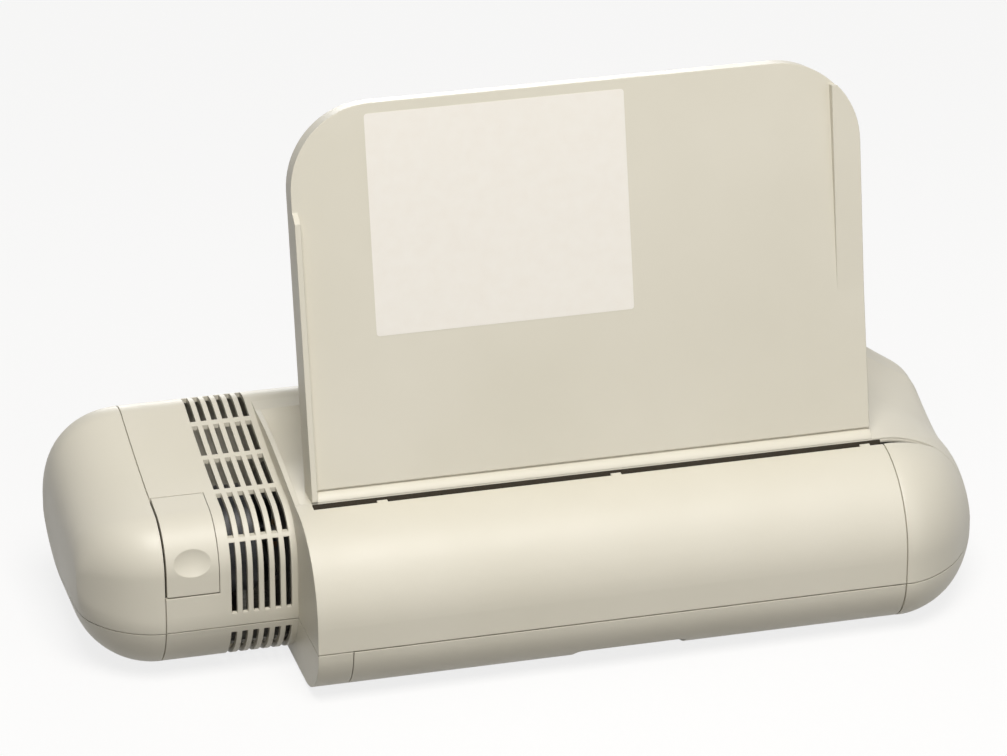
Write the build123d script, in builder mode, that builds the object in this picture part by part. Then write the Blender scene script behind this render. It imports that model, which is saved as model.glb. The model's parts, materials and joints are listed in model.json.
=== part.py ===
"""Electric two-hole paper punch for a desk: moulded shells, upright paper support, cam-driven punches.

Frame: X runs along the machine (left end negative), -Y is the side that the user faces, +Z is up.
The origin is on the desk, under the middle of the machine's outline. All lengths are millimetres.
"""

import os
from math import acos, atan2, cos, degrees, pi, radians, sin, sqrt, tan

from build123d import *

os.makedirs("parts", exist_ok=True)

# ---------------------------------------------------------------------------------------------
# Driving dimensions
# ---------------------------------------------------------------------------------------------

# Outer form of the moulded shells
overall_length = 444.0
overall_depth = 164.0
foot_proud = 2.0            # the feet hold the shells this far off the desk
wall = 2.5
seam_height = 29.0          # joint between the upper and the lower shells
left_cap_length = 37.3
right_cap_length = 50.8
step_from_left = 101.5      # the front body starts this far from the left end
rear_setback = 40.3         # front of the rear body, behind the front of the front body
groove_width = 0.5          # shadow line moulded along every joint between shells
groove_depth = 1.2

# Rear body outline, seen from the left end
rear_bottom_radius = 35.0
shoulder_radius = 25.0
shoulder_height = 58.0      # centre of the front shoulder
shoulder_slope = 7.5        # degrees, where the shoulder runs into the sloping top
ridge_radius = 20.0
ridge_height = 101.0
ridge_slope = 17.0          # degrees, where the sloping top runs into the ridge
back_bottom_radius = 45.0

# Front body outline
front_bottom_radius = 28.0
cover_radius = 44.0
cover_centre_height = 42.0
cove_floor = 86.5           # level of the ledge that the paper support stands on
slot_setback = 45.1         # rear edge of the paper slot, behind the front of the front body
cove_floor_depth = 48.9     # flat floor of the cove, behind the slot
cove_apex_setback = 44.0    # where the rise of the cove turns upward, before the back
cove_edge_setback = 34.0    # top edge of the cove, before the back
cove_edge_drop = 2.0        # and below the ridge
rim_thickness = 2.6         # wall that closes the cove at its left end

# Rounded ends: middle, size of the end face and fullness of the curve, across and up
left_cap_middle = (28.7, 47.7)      # before the back, and above the desk
left_cap_tip = (0.69, 0.12)
left_cap_fullness = (1.59, 0.66)
right_cap_middle = (45.1, 30.3)
right_cap_tip = (0.56, 0.12)
right_cap_fullness = (1.67, 0.83)
cap_angles = (0, 18, 36, 52, 66, 78, 90)
ridge_dip = 30.0            # the ridge dips as it enters the right cap,
ridge_hold = 26.0           # then holds its height longer than the front does
ridge_hold_power = 6

# Paper path
lean = 11.75                # degrees, paper support and throat lean back
throat_gap = 5.2
throat_from_step = 8.0      # left end of the throat, right of the step in the body
throat_to_seam = 3.7        # right end of the throat, left of the cap
slot_runout = 30.0          # the slot runs out this far into the right cap
hole_depth = 24.5           # punch axis below the mouth of the throat, along the paper
edge_to_hole = 9.5          # paper's edge to the middle of its holes
hole_spacing = 69.85        # 2 3/4 in
hole_diameter = 7.1         # 9/32 in
sheet_width = 215.9         # 8 1/2 in, against the paper guide

# Paper support
support_width = 279.4       # 11 in
support_height = 183.6
foot_lip = (4.2, 3.6)       # the face starts this far behind the slot and above the ledge
crease_width = 0.9          # shadow line between the face and its foot
crease_depth = 1.2
support_corner = 40.0
support_rim = 10.4
support_wall = 2.5
guide_width = 2.8
guide_proud = 4.6
guide_height = 135.0
strip_width = 13.5
strip_proud = 4.2
strip_bottom = 70.0
strip_top = 171.0

# Vents at the left of the front body
vent_width = 2.8
vent_pitch = 5.3
vent_columns = 6
vent_from_seam = 31.7       # first column, right of the left cap

# Chip tray
tray_from_step = 16.9
tray_depth = 34.8
tray_gap = 0.4
tray_wall = 2.0
slide_gap = 0.3

# Start and reverse rocker
rocker_width = 25.2
rocker_side_gap = 0.8
rocker_bottom = 48.3
rocker_reach = 34.0         # back edge, behind the front of the rear body
rocker_gap = 0.8            # at the two ends, which swing
rocker_skin = 3.6
dimple_diameter = 18.0
dimple_depth = 2.1
dimple_turn = 15.0          # degrees above level, round the shoulder
rocker_pin_diameter = 3.0
pivot_inset = (12.7, 12.0)  # hinge pin, behind the front of the rear body and above the shoulder's centre

# Punch head
plate_low = -12.0           # lower and upper edges of the guide and die plates, along the paper
plate_high = 17.0
guide_thickness = 12.0
die_thickness = 6.0
die_bore = 7.3
stop_thickness = 2.5
end_block_width = 4.0
cam_distance = 53.0         # camshaft to the middle of the throat
punch_rest = 0.3            # punch tip behind the throat when parked
cam_base = 14.0             # smallest distance from the camshaft to a follower pin
cam_rise = 12.6             # rise over half a turn
cam_width = 10.0
cam_gap = 0.15
follower_diameter = 8.0
shaft_diameter = 10.0
running_gap = 0.05

# Gear train
gear_module = 1.25
pressure_angle = 20.0
gear_backlash = 0.25
pinion_teeth = 14
idler_large_teeth = 46
idler_small_teeth = 16
cam_gear_teeth = 44
idler_direction = -8.0      # degrees, from the camshaft to the idler pin, seen from the right
idler_pin_diameter = 8.0
fast_gear_width = 6.0
slow_gear_width = 8.0
gear_side_gap = 2.0
gear_plate_inset = 0.5      # outer face of the gear plate, left of the step in the body
right_plate_gap = 31.5      # from the right punch to its bearing plate
bracket_inset = 9.5         # throat bracket, left of the throat's right end
plate_thickness = 3.0
bush_wall = 3.0
bush_length = 7.0

# Motor
motor_diameter = 52.0
motor_length = 39.0
motor_gap = 12.0            # from the motor to the gear plate
motor_wall = 3.0
motor_bore = 36.0
air_gap = 0.5
motor_shaft_diameter = 8.0
shaft_stub = 5.0            # the motor's shaft stands out this far on the left
fan_width = 7.0
fan_diameter = 46.0
fan_hub = 14.0
fan_blades = 7

# Power inlet in the back, and the electrics
inlet_from_seam = 71.2
inlet_level = 62.0
inlet_body = (27.0, 19.8, 24.0)     # width, height and depth behind the wall
inlet_flange = (31.0, 24.0, 2.0)
inlet_cavity = (24.4, 16.0, 19.0)
board_size = (66.0, 42.0)
board_inset = (21.2, 40.0)  # from the right cap, and from the back
board_level = 14.0
board_thickness = 1.6

# Chassis and feet
chassis_level = 8.5
chassis_thickness = 1.5
foot_diameter = 16.0
foot_recess = 1.2
post_diameter = 9.0
screw_diameter = 3.0
screw_clearance = 0.1       # all round a screw
screw_head = 5.6
screw_head_height = 2.0
screw_bite = 12.0           # how far a housing screw reaches into the upper shell's post
head_level = 9.0            # the housing screws' heads sit this high in their posts

# ---------------------------------------------------------------------------------------------
# Places worked out from them
# ---------------------------------------------------------------------------------------------

left_end = -overall_length / 2
right_end = overall_length / 2
front = -overall_depth / 2
back = overall_depth / 2
left_seam = left_end + left_cap_length
right_seam = right_end - right_cap_length
step_x = left_end + step_from_left
rear_front = front + rear_setback
shoulder_y = rear_front + shoulder_radius
big = 400.0                 # longer than any cut needs

lean_sin = sin(radians(lean))
lean_cos = cos(radians(lean))
throat_left = step_x + throat_from_step
throat_right = right_seam - throat_to_seam
slot_rear_y = front + slot_setback
slot_front_y = slot_rear_y - throat_gap / lean_cos
mouth_middle = ((slot_rear_y + slot_front_y) / 2, cove_floor)
cove_start = slot_rear_y + cove_floor_depth
cove_apex = back - cove_apex_setback
cove_edge = (back - cove_edge_setback, ridge_height - cove_edge_drop)

punch_point = (mouth_middle[0] - hole_depth * lean_sin, mouth_middle[1] - hole_depth * lean_cos)
cam_axis = (punch_point[0] + cam_distance * lean_cos, punch_point[1] - cam_distance * lean_sin)
support_middle = (throat_left + throat_right) / 2
support_foot = (slot_rear_y + foot_lip[0], cove_floor + foot_lip[1])
guide_face_x = support_middle - support_width / 2 + guide_width
holes_middle = guide_face_x + sheet_width / 2
punch_places = (holes_middle - hole_spacing / 2, holes_middle + hole_spacing / 2)
cam_rate = cam_rise / pi    # mm of punch travel for each radian of the camshaft

idler_distance = gear_module * (pinion_teeth + idler_large_teeth) / 2
idler_axis = (
    cam_axis[0] + idler_distance * cos(radians(idler_direction)),
    cam_axis[1] + idler_distance * sin(radians(idler_direction)),
)
# The gears stand between two plates: the fast pair first, then the slow pair
gear_plate_x = step_x - gear_plate_inset
fast_start = gear_plate_x + plate_thickness + gear_side_gap
fast_gears = (fast_start, fast_start + fast_gear_width)
slow_gears = (fast_gears[1] + gear_side_gap, fast_gears[1] + gear_side_gap + slow_gear_width)
left_plate_x = slow_gears[1] + plate_thickness
right_plate_x = punch_places[1] + right_plate_gap
bracket_x = throat_right - bracket_inset
motor_x = (gear_plate_x - motor_gap - motor_length, gear_plate_x - motor_gap)
motor_shaft_x = (motor_x[0] - shaft_stub, fast_gears[1] + 0.5)
fan_x = (gear_plate_x - 2.0 - fan_width, gear_plate_x - 2.0)

tray_left = step_x + tray_from_step
tray_back = front + tray_depth
rocker_left = left_seam + rocker_side_gap
rocker_back = rear_front + rocker_reach
rocker_pivot = (rear_front + pivot_inset[0], shoulder_height + pivot_inset[1])
inlet_middle = (right_seam - inlet_from_seam, inlet_level)
board_x = (right_seam - board_inset[0] - board_size[0], right_seam - board_inset[0])
board_y = (back - board_inset[1] - board_size[1], back - board_inset[1])

chassis_top = chassis_level + chassis_thickness
tray_side_y = tray_back + 14.2      # row of feet and screws behind the tray
rear_row_y = back - 54.0            # and the row near the back
foot_places = (
    (left_seam + 19.7, rear_front + 43.7),
    (left_seam + 19.7, rear_row_y),
    (step_x + 28.5, tray_side_y),
    (right_seam - 21.2, tray_side_y),
    (right_seam - 21.2, rear_row_y),
)
post_y = back - 32.0
post_places = (
    (left_seam + 12.7, post_y),
    (step_x + 50.5, post_y),
    (support_middle + 17.5, post_y),
    (right_seam - 31.2, post_y),
)
chassis_screw_places = (
    (left_seam + 34.7, rear_front + 27.2),
    (left_seam + 34.7, back - 46.0),
    (step_x + 40.5, tray_back + 19.2),
    (step_x + 60.5, back - 52.0),
    (right_seam - 71.2, tray_back + 17.2),
    (right_seam - 16.2, back - 52.0),
)


# ---------------------------------------------------------------------------------------------
# Outlines and forms
# ---------------------------------------------------------------------------------------------

def meet(p, slope_p, q, slope_q):
    """Where the line through p meets the line through q; slopes are in degrees."""
    tp = tan(radians(slope_p))
    tq = tan(radians(slope_q))
    y = (q[1] - p[1] - tq * q[0] + tp * p[0]) / (tp - tq)
    return (y, p[1] + tp * (y - p[0]))


def ridge_curve(inset, lift=0.0):
    """Start, apex and end of the rounding over the top of the back, raised by a lift."""
    radius = ridge_radius - inset
    middle = (back - ridge_radius, ridge_height + lift - ridge_radius)
    slope = radians(ridge_slope)
    start = (middle[0] - radius * sin(slope), middle[1] + radius * cos(slope))
    apex = (back - inset, start[1] + (back - inset - start[0]) * tan(slope))
    return start, apex, (back - inset, middle[1])


def rear_outline(inset, reach=0.0):
    """Stretches of the rear body's outline: (start, end) or (start, apex, end, turn).

    It keeps its shape all the way into the left cap, whatever the reach into the cap.
    """
    low = foot_proud + inset
    near = rear_front + inset
    far = back - inset
    r_low = rear_bottom_radius - inset
    r_back = back_bottom_radius - inset
    r_top = shoulder_radius - inset
    slope = radians(shoulder_slope)
    crown_start = (shoulder_y - r_top * sin(slope), shoulder_height + r_top * cos(slope))
    shoulder_apex = (near, crown_start[1] - (crown_start[0] - near) * tan(slope))
    ridge_start, ridge_apex, ridge_end = ridge_curve(inset)
    crown_apex = meet(crown_start, shoulder_slope, ridge_start, ridge_slope)
    return (
        ((far - r_back, low), (near + r_low, low)),
        ((near + r_low, low), (near, low), (near, low + r_low), 90),
        ((near, low + r_low), (near, shoulder_height)),
        ((near, shoulder_height), shoulder_apex, crown_start, 90 - shoulder_slope),
        (crown_start, crown_apex, ridge_start, 0),
        (ridge_start, ridge_apex, ridge_end, 90 + ridge_slope),
        (ridge_end, (far, low + r_back)),
        ((far, low + r_back), (far, low), (far - r_back, low), 90),
    )


def main_outline(inset, reach=0.0):
    """Stretches of the outline through the front body, the cove behind the paper and the back.

    With the reach into the right cap (0 to 1) the ridge changes height and the cove closes.
    """
    lift = ridge_hold * reach**ridge_hold_power - ridge_dip * reach**2 * (1 - reach)
    closed = min(reach**2, 0.98)
    rise_y = cove_start + (slot_rear_y + 3.0 - cove_start) * closed
    turn_y = cove_apex + (slot_rear_y + 6.0 - cove_apex) * closed * 0.7
    low = foot_proud + inset
    near = front + inset
    far = back - inset
    r_low = front_bottom_radius - inset
    r_back = back_bottom_radius - inset
    r_cover = cover_radius - inset
    cover_y = front + cover_radius
    edge_angle = atan2(slot_front_y - cover_y, cover_radius)
    cover_end = (cover_y + r_cover * sin(edge_angle), cover_centre_height + r_cover * cos(edge_angle))
    cover_apex = (near, cover_end[1] + (cover_end[0] - near) * tan(edge_angle))
    floor = cove_floor - inset
    ledge = (slot_rear_y, floor)
    rise_start = (rise_y, floor)
    rise_apex = (turn_y, floor)
    rise_end = (cove_edge[0], cove_edge[1] + lift - inset)
    ridge_start, ridge_apex, ridge_end = ridge_curve(inset, lift)
    return (
        ((far - r_back, low), (near + r_low, low)),
        ((near + r_low, low), (near, low), (near, low + r_low), 90),
        ((near, low + r_low), (near, cover_centre_height)),
        ((near, cover_centre_height), cover_apex, cover_end, 90 + degrees(edge_angle)),
        (cover_end, ledge),
        (ledge, rise_start),
        (rise_start, rise_apex, rise_end, 0),
        (rise_end, ridge_start),
        (ridge_start, ridge_apex, ridge_end, 90 + ridge_slope),
        (ridge_end, (far, low + r_back)),
        ((far, low + r_back), (far, low), (far - r_back, low), 90),
    )


def draw(outline, middle=(0.0, 0.0), across=1.0, up=1.0):
    """Draw an outline as a face, drawn in towards a middle point by two factors."""

    def place(p):
        return (middle[0] + (p[0] - middle[0]) * across, middle[1] + (p[1] - middle[1]) * up)

    with BuildLine() as drawn:
        for stretch in outline:
            if len(stretch) == 2:
                Line(place(stretch[0]), place(stretch[1]))
            else:
                start, apex, end, turn = stretch
                weight = cos(radians(turn / 2))
                Bezier(place(start), place(apex), place(end), weights=[1.0, weight, 1.0])
    make_face(drawn.edges())


def end_cap(outline, inset, start_x, length, setback, tip, fullness):
    """A rounded end: sections that draw in towards a middle point as they near the end."""
    middle = (back - setback[0], setback[1])
    sections = []
    for angle in cap_angles:
        turn = max(cos(radians(angle)), 0.0) if angle < 90 else 0.0
        across = tip[0] + (1 - tip[0]) * turn ** fullness[0]
        up = tip[1] + (1 - tip[1]) * turn ** fullness[1]
        reach = sin(radians(angle))
        with BuildSketch(Plane.YZ.offset(start_x + length * reach)) as section:
            draw(outline(inset, reach), middle, across, up)
        sections.append(section.sketch)
    loft(sections)


def body_form(inset):
    """The whole outer form, or the same form lying inside it by the inset."""
    overlap = inset + 1.0 if inset else 0.0
    with BuildPart() as rear:
        with BuildSketch(Plane.YZ.offset(left_seam)):
            draw(rear_outline(inset))
        extrude(amount=step_x - left_seam + overlap)
    with BuildPart() as left_cap:
        length = inset - left_cap_length
        end_cap(rear_outline, inset, left_seam, length, left_cap_middle, left_cap_tip, left_cap_fullness)
    with BuildPart() as right_cap:
        length = right_cap_length - inset
        end_cap(main_outline, inset, right_seam, length, right_cap_middle, right_cap_tip, right_cap_fullness)
    with BuildPart() as form:
        with BuildSketch(Plane.YZ.offset(step_x + inset)):
            draw(main_outline(inset))
        extrude(amount=right_seam - step_x - inset)
        add(rear.part)
        add(left_cap.part)
        add(right_cap.part)
    return form.part


def block(x, y, z):
    """A box from its lowest and highest X, Y and Z."""
    with BuildPart() as made:
        with Locations(((x[0] + x[1]) / 2, (y[0] + y[1]) / 2, (z[0] + z[1]) / 2)):
            Box(x[1] - x[0], y[1] - y[0], z[1] - z[0])
    return made.part


def rod(axis_point, radius, x):
    """A round bar along X about a point in Y and Z."""
    with BuildPart() as made:
        with BuildSketch(Plane.YZ.offset(x[0])):
            with Locations(axis_point):
                Circle(radius)
        extrude(amount=x[1] - x[0])
    return made.part


def slab(points, x):
    """A plate square to X, from its outline in Y and Z."""
    with BuildPart() as made:
        with BuildSketch(Plane.YZ.offset(x[0])):
            with BuildLine():
                Polyline(*points, close=True)
            make_face()
        extrude(amount=x[1] - x[0])
    return made.part


def along_paper(s, n):
    """Y and Z of a point s up the paper from the punch axis and n behind the paper."""
    y = punch_point[0] + s * lean_sin + n * lean_cos
    z = punch_point[1] + s * lean_cos - n * lean_sin
    return (y, z)


def leaning_slab(s, n, x):
    """A plate that leans with the paper."""
    places = ((s[0], n[0]), (s[1], n[0]), (s[1], n[1]), (s[0], n[1]))
    corners = [along_paper(*place) for place in places]
    return slab(corners, x)


def upright(place, radius, z):
    """A round bar standing at a place in X and Y."""
    with BuildPart() as made:
        with BuildSketch(Plane.XY.offset(z[0])):
            with Locations(place):
                Circle(radius)
        extrude(amount=z[1] - z[0])
    return made.part


def lean_plane(x, turn=0.0):
    """Plane square to X at the camshaft, its own x behind the paper or turned up from there (degrees)."""
    tilt = radians(turn - lean)
    return Plane(origin=(x, *cam_axis), x_dir=(0, cos(tilt), sin(tilt)), z_dir=(1, 0, 0))


def punch_plane(x, behind):
    """Plane square to a punch, a distance behind the middle of the throat."""
    y, z = along_paper(0.0, behind)
    return Plane(origin=(x, y, z), x_dir=(1, 0, 0), z_dir=(0, lean_cos, -lean_sin))


def punch_rod(x, radius, behind):
    """A round bar on a punch's axis, between two distances behind the throat's middle."""
    with BuildPart() as made:
        with BuildSketch(punch_plane(x, behind[0])):
            Circle(radius)
        extrude(amount=behind[1] - behind[0])
    return made.part


def involute(angle):
    return tan(angle) - angle


def gear_outline(teeth, turn, axis_point):
    """Corners of a spur gear in Y and Z, with a tooth pointing along the turn (degrees)."""
    pitch = gear_module * teeth / 2
    base = pitch * cos(radians(pressure_angle))
    tip = pitch + gear_module
    root = pitch - 1.25 * gear_module
    half_tooth = pi / 2 / teeth - gear_backlash / 4 / pitch
    start = max(base, root)
    flank = []
    for radius in (start, (start + tip) / 2, tip):
        spread = half_tooth + involute(radians(pressure_angle)) - involute(acos(min(base / radius, 1.0)))
        flank.append((radius, spread))
    if root < base:
        flank.insert(0, (root, flank[0][1]))
    corners = []
    for tooth in range(teeth):
        middle = radians(turn) + 2 * pi * tooth / teeth
        sides = [(radius, middle - spread) for radius, spread in flank]
        sides += [(radius, middle + spread) for radius, spread in reversed(flank)]
        for radius, angle in sides:
            corners.append((axis_point[0] + radius * cos(angle), axis_point[1] + radius * sin(angle)))
    return corners


def gear(teeth, turn, axis_point, x, bore):
    with BuildPart() as made:
        with BuildSketch(Plane.YZ.offset(x[0])):
            with BuildLine():
                Polyline(*gear_outline(teeth, turn, axis_point), close=True)
            make_face()
            if bore:
                with Locations(axis_point):
                    Circle(bore, mode=Mode.SUBTRACT)
        extrude(amount=x[1] - x[0])
    return made.part


outer = body_form(0.0)
inner = body_form(wall)
skin_inside = body_form(groove_depth)

with BuildPart() as shell_form:
    add(outer)
    add(inner, mode=Mode.SUBTRACT)

# Shadow lines between the shells, cut only skin deep
half_groove = groove_width / 2
with BuildPart() as grooves:
    add(block((left_end, right_end), (-big, big), (seam_height - half_groove, seam_height + half_groove)))
    add(block((left_seam - half_groove, left_seam + half_groove), (-big, big), (0, big)))
    add(block((right_seam - half_groove, right_seam + half_groove), (-big, slot_rear_y), (0, big)))
    add(block((right_seam - half_groove, right_seam + half_groove), (-big, big), (0, seam_height)))
    slot_line = (slot_rear_y - half_groove, slot_rear_y + half_groove)
    add(block((throat_right, right_end), slot_line, (seam_height, big)))
    add(outer, mode=Mode.INTERSECT)
    add(skin_inside, mode=Mode.SUBTRACT)

vent_places = [left_seam + vent_from_seam + vent_pitch * i for i in range(vent_columns)]
# Rows of vents: Y range and Z range of each cut, from the bottom, up the front and over the top
vent_low_y = rear_front - 20.0
vent_top_z = ridge_height + 10.0
upper_vent_rows = (
    ((vent_low_y, rear_front + 8.0), (seam_height + 7.2, seam_height + 42.4)),
    ((vent_low_y, rear_front + 32.3), (seam_height + 44.2, vent_top_z)),
    ((rear_front + 35.6, rear_front + 59.7), (seam_height + 31.0, vent_top_z)),
    ((rear_front + 62.7, rear_front + 84.9), (seam_height + 31.0, vent_top_z)),
    ((rear_front + 87.9, back - 14.0), (seam_height + 31.0, vent_top_z)),
)
lower_vent_row = ((vent_low_y, rear_front + 30.0), (-5.0, seam_height - 3.6))


# ---------------------------------------------------------------------------------------------
# Shells
# ---------------------------------------------------------------------------------------------

with BuildPart() as left_cap_upper:
    add(shell_form.part)
    add(block((-big, left_seam), (-big, big), (seam_height, big)), mode=Mode.INTERSECT)
    add(grooves.part, mode=Mode.SUBTRACT)

with BuildPart() as left_cap_lower:
    add(shell_form.part)
    add(block((-big, left_seam), (-big, big), (-big, seam_height)), mode=Mode.INTERSECT)
    add(grooves.part, mode=Mode.SUBTRACT)

with BuildPart() as right_cap_upper:
    add(shell_form.part)
    add(block((right_seam, big), (-big, slot_rear_y), (seam_height, big)), mode=Mode.INTERSECT)
    # the paper slot narrows to nothing in the cap
    with BuildPart(mode=Mode.PRIVATE) as runout:
        with BuildSketch(Plane.XY.offset(cove_floor - 4 * wall)):
            with BuildLine():
                slot_end = (right_seam + slot_runout, slot_rear_y)
                Bezier((right_seam, slot_front_y), (right_seam + slot_runout / 2, slot_front_y), slot_end)
                Polyline(slot_end, (right_seam, slot_rear_y + 1), (right_seam, slot_front_y))
            make_face()
        extrude(amount=big)
    add(runout.part, mode=Mode.SUBTRACT)
    add(grooves.part, mode=Mode.SUBTRACT)

# The lower right cap closes the end of the tray bay and carries the tray's right rail
rail_level = 26.2
rail_height = 2.0
rail_reach = 3.0
bay_wall = 2.5
bay_back = (tray_back, tray_back + bay_wall)
rail_run = (front + 6.0, tray_back)
rail_z = (rail_level - rail_height, rail_level)
with BuildPart() as right_cap_lower:
    add(shell_form.part)
    add(block((right_seam, big), (-big, big), (-big, seam_height)), mode=Mode.INTERSECT)
    with BuildPart(mode=Mode.PRIVATE) as bay_end:
        add(outer)
        closing = block((right_seam, right_seam + bay_wall), (-big, bay_back[1]), (-big, seam_height))
        add(closing, mode=Mode.INTERSECT)
    add(bay_end.part)
    add(grooves.part, mode=Mode.SUBTRACT)
    add(block((right_seam - rail_reach, right_seam), rail_run, rail_z))


# ---------------------------------------------------------------------------------------------
# Upper shells over the machine
# ---------------------------------------------------------------------------------------------

lip_bottom = plate_high + 0.3
tab_spacing = 97.5
tab_places = (support_middle - tab_spacing, support_middle, support_middle + tab_spacing)
tab_width = 20.0
tab_y = (support_foot[0] + 2.7, support_foot[0] + 5.2)
catch_places = (throat_left + 33.5, support_middle + 8.8, throat_right - 5.5)
catch_size = (5.0, 1.8, 0.9)    # along the slot, across it, and its thickness
front_lip_drop = 1.3            # the slot's front edge, below its rear edge along the paper
tab_fit = 0.2
tab_length = 9.0

# The big cover in front of the paper, with a lip down to the die plate
throat_x = (throat_left, throat_right)
lip_run = (lip_bottom, hole_depth)
front_lip = (-throat_gap / 2 - wall, -throat_gap / 2)
rear_lip = (throat_gap / 2, throat_gap / 2 + wall)
slot_depth = (front_lip[1], rear_lip[1])
with BuildPart() as front_cover:
    add(shell_form.part)
    add(block((step_x, right_seam), (-big, slot_rear_y), (seam_height, big)), mode=Mode.INTERSECT)
    with BuildPart(mode=Mode.PRIVATE) as cover_lip:
        add(leaning_slab(lip_run, front_lip, throat_x))
        add(outer, mode=Mode.INTERSECT)
        add(block((throat_left, right_seam), (-big, big), (seam_height, big)), mode=Mode.INTERSECT)
    add(cover_lip.part)
    add(leaning_slab((0, 60), slot_depth, throat_x), mode=Mode.SUBTRACT)
    add(leaning_slab((hole_depth - 3 * wall, 60), slot_depth, (throat_right, right_seam)), mode=Mode.SUBTRACT)
    # small catches that bridge part of the slot at its mouth
    with BuildPart(mode=Mode.PRIVATE) as catches:
        catch_s = (hole_depth - front_lip_drop - catch_size[2], hole_depth + wall)
        catch_n = (front_lip[0], front_lip[1] + catch_size[1])
        for x in catch_places:
            add(leaning_slab(catch_s, catch_n, (x - catch_size[0] / 2, x + catch_size[0] / 2)))
        add(outer, mode=Mode.INTERSECT)
    add(catches.part)
    add(grooves.part, mode=Mode.SUBTRACT)

# The vented body behind it
with BuildPart() as vents:
    for x in vent_places:
        for y_range, z_range in (*upper_vent_rows, lower_vent_row):
            add(block((x, x + vent_width), y_range, z_range))

inlet_x = (inlet_middle[0] - inlet_body[0] / 2, inlet_middle[0] + inlet_body[0] / 2)
inlet_z = (inlet_middle[1] - inlet_body[1] / 2, inlet_middle[1] + inlet_body[1] / 2)
with BuildPart() as rear_housing:
    add(shell_form.part)
    with BuildPart(mode=Mode.PRIVATE) as housing_region:
        add(block((left_seam, step_x), (-big, big), (seam_height, big)))
        add(block((step_x, right_end), (slot_rear_y, big), (seam_height, big)))
    add(housing_region.part, mode=Mode.INTERSECT)
    with BuildPart(mode=Mode.PRIVATE) as rim:
        with BuildSketch(Plane.YZ.offset(step_x)):
            with BuildLine():
                rim_low = (slot_rear_y + 28.9, cove_floor + 6.0)
                rim_high = (cove_edge[0] - 30.0, cove_edge[1] + 0.4)
                Bezier((slot_rear_y, cove_floor), rim_low, rim_high, cove_edge)
                Polyline(cove_edge, (cove_edge[0], cove_floor - wall), (slot_rear_y, cove_floor - wall))
                Line((slot_rear_y, cove_floor - wall), (slot_rear_y, cove_floor))
            make_face()
        extrude(amount=rim_thickness)
        add(inner, mode=Mode.SUBTRACT)
    add(rim.part)
    with BuildPart(mode=Mode.PRIVATE) as housing_posts:
        for place in post_places:
            add(upright(place, post_diameter / 2, (seam_height, big)))
        add(leaning_slab(lip_run, rear_lip, throat_x))
        add(outer, mode=Mode.INTERSECT)
    add(housing_posts.part)
    for place in post_places:
        bore = screw_diameter / 2 + screw_clearance
        add(upright(place, bore, (seam_height, seam_height + screw_bite + 1)), mode=Mode.SUBTRACT)
    for x in tab_places:
        slot_x = (x - tab_width / 2 - tab_fit, x + tab_width / 2 + tab_fit)
        slot_y = (tab_y[0] - tab_fit, tab_y[1] + tab_fit)
        add(block(slot_x, slot_y, (cove_floor - 2 * wall, big)), mode=Mode.SUBTRACT)
    rocker_hole_x = (left_seam, rocker_left + rocker_width + slide_gap)
    rocker_hole_y = (vent_low_y, rocker_back + rocker_gap)
    rocker_hole = block(rocker_hole_x, rocker_hole_y, (rocker_bottom - rocker_gap, vent_top_z))
    add(rocker_hole, mode=Mode.SUBTRACT)
    add(vents.part, mode=Mode.SUBTRACT)
    add(block(inlet_x, (back - 2 * wall, big), inlet_z), mode=Mode.SUBTRACT)
    add(grooves.part, mode=Mode.SUBTRACT)

# The lower shell, with the bay for the chip tray
base_post_radius = post_diameter / 2 + 1.0
with BuildPart() as base:
    add(shell_form.part)
    add(block((left_seam, right_seam), (-big, big), (-big, seam_height)), mode=Mode.INTERSECT)
    add(block((tray_left, right_seam), (-big, tray_back), (-big, big)), mode=Mode.SUBTRACT)
    with BuildPart(mode=Mode.PRIVATE) as base_inside:
        add(block((tray_left - bay_wall, right_seam), bay_back, (0, seam_height)))
        add(block((tray_left - bay_wall, tray_left), (-big, bay_back[1]), (0, seam_height)))
        add(block((tray_left, tray_left + rail_reach), rail_run, rail_z))
        for place in post_places:
            add(upright(place, base_post_radius, (0, seam_height)))
        for place in chassis_screw_places:
            add(upright(place, screw_head / 2 + 1.0, (0, chassis_level)))
        for place in foot_places:
            add(upright(place, foot_diameter / 2 + 1.5, (0, foot_proud + wall + foot_recess)))
        add(outer, mode=Mode.INTERSECT)
    add(base_inside.part)
    for place in post_places:
        add(upright(place, screw_head / 2 + 0.4, (0, head_level)), mode=Mode.SUBTRACT)
        add(upright(place, screw_diameter / 2 + screw_clearance, (0, seam_height)), mode=Mode.SUBTRACT)
    for place in chassis_screw_places:
        screw_run = (foot_proud + 1.6, chassis_level)
        add(upright(place, screw_diameter / 2 + screw_clearance, screw_run), mode=Mode.SUBTRACT)
    for place in foot_places:
        add(upright(place, foot_diameter / 2, (0, foot_proud + foot_recess)), mode=Mode.SUBTRACT)
    add(vents.part, mode=Mode.SUBTRACT)
    add(grooves.part, mode=Mode.SUBTRACT)

with BuildPart() as rubber_feet:
    for place in foot_places:
        add(upright(place, foot_diameter / 2, (0, foot_proud + foot_recess)))
    chamfer(rubber_feet.faces().filter_by(Plane.XY).group_by(Axis.Z)[0].edges(), 0.5)

with BuildPart() as housing_screws:
    for place in post_places:
        add(upright(place, screw_head / 2, (head_level - screw_head_height, head_level)))
        add(upright(place, screw_diameter / 2, (head_level, seam_height + screw_bite)))

with BuildPart() as chassis_screws:
    for place in chassis_screw_places:
        add(upright(place, screw_head / 2, (chassis_top, chassis_top + screw_head_height)))
        add(upright(place, screw_diameter / 2, (foot_proud + 2.0, chassis_top)))

# ---------------------------------------------------------------------------------------------
# Chip tray
# ---------------------------------------------------------------------------------------------

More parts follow.
